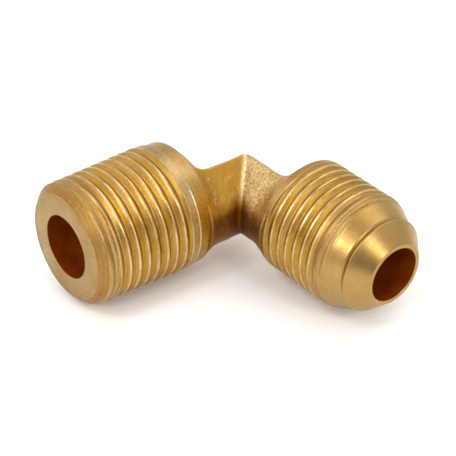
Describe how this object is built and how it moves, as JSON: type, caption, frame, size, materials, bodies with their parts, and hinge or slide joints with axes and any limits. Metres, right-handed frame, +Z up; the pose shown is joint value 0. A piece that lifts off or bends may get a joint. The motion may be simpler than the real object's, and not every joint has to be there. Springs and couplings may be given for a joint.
{
  "type": "flare fitting",
  "caption": "90 degree male elbow fitting in brass: a 45 degree flare end with a straight thread and a tapered pipe thread end, joined by a forged knee.",
  "frame": {"origin": "the point where the axes of the two ends cross, from which such an elbow's centre-to-end lengths are measured", "axes": "+X is the way the flare end points, -Y is the way the pipe thread end points, +Z is up, square to both axes"},
  "size_m": [0.0377, 0.0369, 0.0172],
  "materials": {
    "forged_brass": "as forged and tumbled, finely pebbled, satin",
    "turned_brass": "turned, with fine circular tool marks, satin",
    "cut_thread": "cut thread, bright crests and darker golden flanks"
  },
  "bodies": {
    "root": {"forged_knee": "forged_brass", "pipe_collar": "turned_brass", "pipe_thread": "cut_thread", "flare_collar": "turned_brass", "flare_thread": "cut_thread", "flare_nose": "turned_brass"}
  },
  "joints": []
}
